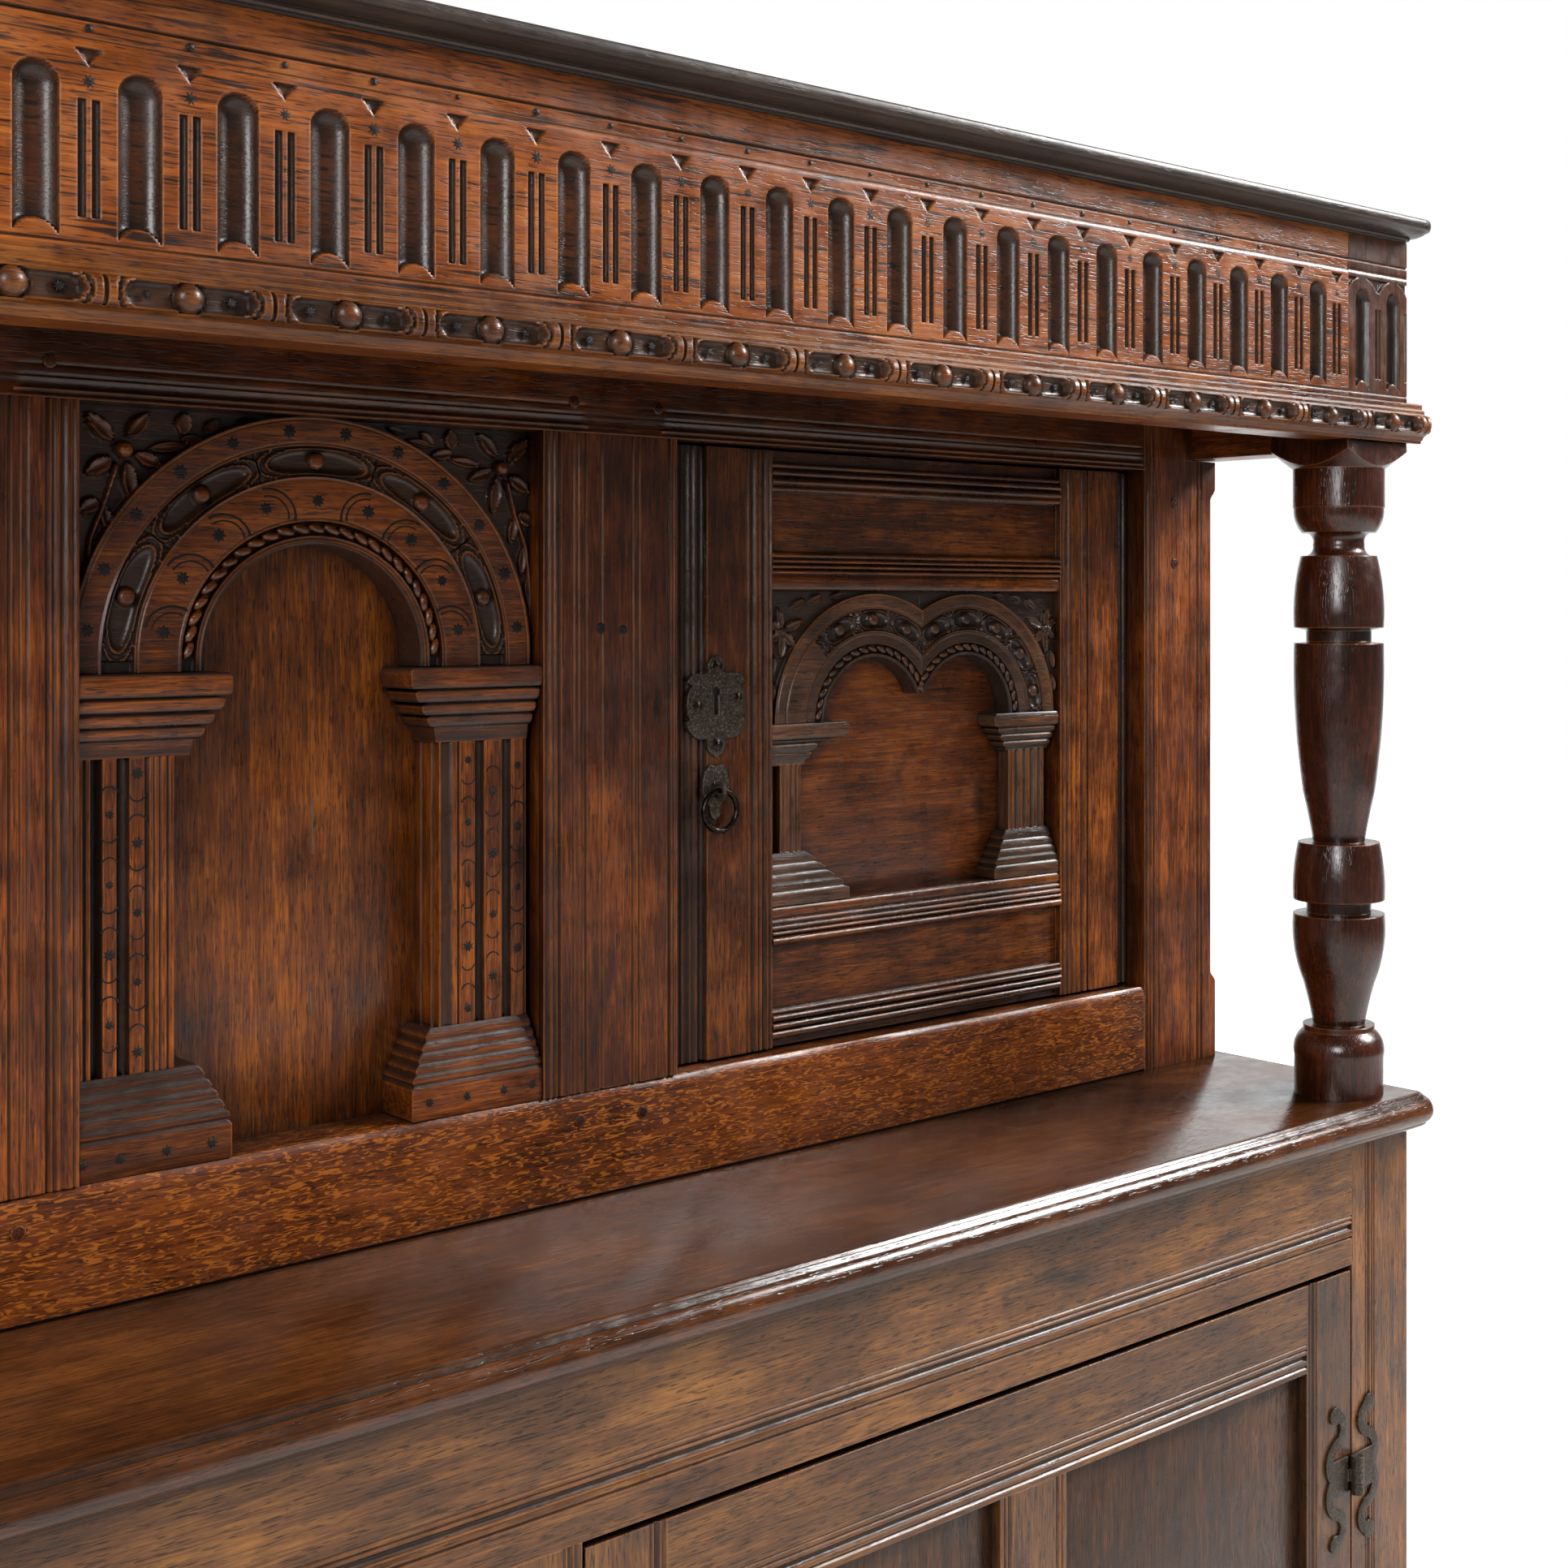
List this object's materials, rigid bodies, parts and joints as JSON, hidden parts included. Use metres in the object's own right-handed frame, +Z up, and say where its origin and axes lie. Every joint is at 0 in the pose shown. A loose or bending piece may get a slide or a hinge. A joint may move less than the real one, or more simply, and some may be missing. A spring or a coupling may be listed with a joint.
{
  "type": "court cupboard",
  "caption": "Joined oak court cupboard with a panelled lower cupboard, a recessed upper cupboard with carved arches, and a fluted frieze on turned columns.",
  "frame": {"origin": "on the floor, mid-width, halfway between the ledge's front edge and the back", "axes": "+Z up, +X to the right facing the doors, +Y to the back"},
  "size_m": [1.62, 0.551, 1.6],
  "materials": {
    "oak": "dark waxed oak frame members, worn on the arrises",
    "oak_carved": "carved waxed oak, dark wax in the recesses",
    "oak_panel": "flat waxed oak panels",
    "oak_board": "plain oak boards, unwaxed or lightly waxed",
    "iron": "hand-forged wrought iron, dark, worn bright on the edges"
  },
  "bodies": {
    "carcase": {"arch_back_panel": "oak_panel", "arch_bases": "oak_carved", "arch_capitals": "oak_carved", "arch_carving": "oak_carved", "arch_pilasters": "oak_carved", "canopy_rail_left": "oak", "canopy_rail_right": "oak", "column_left": "oak", "column_right": "oak", "cornice_board": "oak", "frieze_board": "oak_carved", "hinge_stile_leaves": "iron", "ledge_board": "oak", "lower_back_boards": "oak_board", "lower_back_frame": "oak", "lower_bottom_rail": "oak", "lower_centre_stile": "oak", "lower_floor_boards": "oak_board", "lower_front_stile_left": "oak", "lower_front_stile_right": "oak", "lower_side_panels": "oak_panel", "lower_side_rails": "oak", "lower_top_rail": "oak", "pearl_moulding": "oak_carved", "upper_back_boards": "oak_board", "upper_back_frame": "oak", "upper_bottom_rail": "oak", "upper_end_stile_left": "oak", "upper_end_stile_right": "oak", "upper_muntin_left": "oak", "upper_muntin_right": "oak", "upper_side_boards": "oak_board", "upper_top_rail": "oak"},
    "upper_right_door": {"upper_right_door_arch": "oak_carved", "upper_right_door_frame": "oak", "upper_right_door_ironwork": "iron", "upper_right_door_lock": "iron", "upper_right_door_mouldings": "oak", "upper_right_door_panel": "oak_panel", "upper_right_door_pillars": "oak_carved"},
    "upper_left_door": {"upper_left_door_arch": "oak_carved", "upper_left_door_frame": "oak", "upper_left_door_ironwork": "iron", "upper_left_door_lock": "iron", "upper_left_door_mouldings": "oak", "upper_left_door_panel": "oak_panel", "upper_left_door_pillars": "oak_carved"},
    "lower_right_door": {"lower_right_door_frame": "oak", "lower_right_door_ironwork": "iron", "lower_right_door_panels": "oak_panel"},
    "lower_left_door": {"lower_left_door_frame": "oak", "lower_left_door_ironwork": "iron", "lower_left_door_panels": "oak_panel"},
    "upper_right_door_ring": {"upper_right_door_ring": "iron"},
    "lower_right_door_ring": {"lower_right_door_ring": "iron"},
    "upper_right_door_bolt": {"upper_right_door_bolt": "iron"},
    "upper_left_door_ring": {"upper_left_door_ring": "iron"},
    "lower_left_door_ring": {"lower_left_door_ring": "iron"},
    "upper_left_door_bolt": {"upper_left_door_bolt": "iron"}
  },
  "joints": [
    {"name": "upper_right_door_hinge", "type": "hinge", "parent": "carcase", "child": "upper_right_door", "pos_m": [0.6795, -0.0355, 1.206], "axis": [0, 0, 1], "range_deg": [0, 90]},
    {"name": "lower_right_door_hinge", "type": "hinge", "parent": "carcase", "child": "lower_right_door", "pos_m": [0.718, -0.2605, 0.506], "axis": [0, 0, 1], "range_deg": [0, 165]},
    {"name": "upper_right_ring_swing", "type": "hinge", "parent": "upper_right_door", "child": "upper_right_door_ring", "pos_m": [0.283, -0.0585, 1.181], "axis": [-1, 0, 0], "range_deg": [0, 100]},
    {"name": "lower_right_ring_swing", "type": "hinge", "parent": "lower_right_door", "child": "lower_right_door_ring", "pos_m": [0.078, -0.2615, 0.624], "axis": [-1, 0, 0], "range_deg": [0, 100]},
    {"name": "upper_right_bolt_slide", "type": "slide", "parent": "upper_right_door", "child": "upper_right_door_bolt", "axis": [-1, 0, 0], "range_m": [0, 0.01]},
    {"name": "upper_left_door_hinge", "type": "hinge", "parent": "carcase", "child": "upper_left_door", "pos_m": [-0.6795, -0.0355, 1.206], "axis": [0, 0, -1], "range_deg": [0, 90]},
    {"name": "lower_left_door_hinge", "type": "hinge", "parent": "carcase", "child": "lower_left_door", "pos_m": [-0.718, -0.2605, 0.506], "axis": [0, 0, -1], "range_deg": [0, 165]},
    {"name": "upper_left_ring_swing", "type": "hinge", "parent": "upper_left_door", "child": "upper_left_door_ring", "pos_m": [-0.283, -0.0585, 1.181], "axis": [-1, 0, 0], "range_deg": [0, 100]},
    {"name": "lower_left_ring_swing", "type": "hinge", "parent": "lower_left_door", "child": "lower_left_door_ring", "pos_m": [-0.078, -0.2615, 0.624], "axis": [-1, 0, 0], "range_deg": [0, 100]},
    {"name": "upper_left_bolt_slide", "type": "slide", "parent": "upper_left_door", "child": "upper_left_door_bolt", "axis": [1, 0, 0], "range_m": [0, 0.01]}
  ]
}
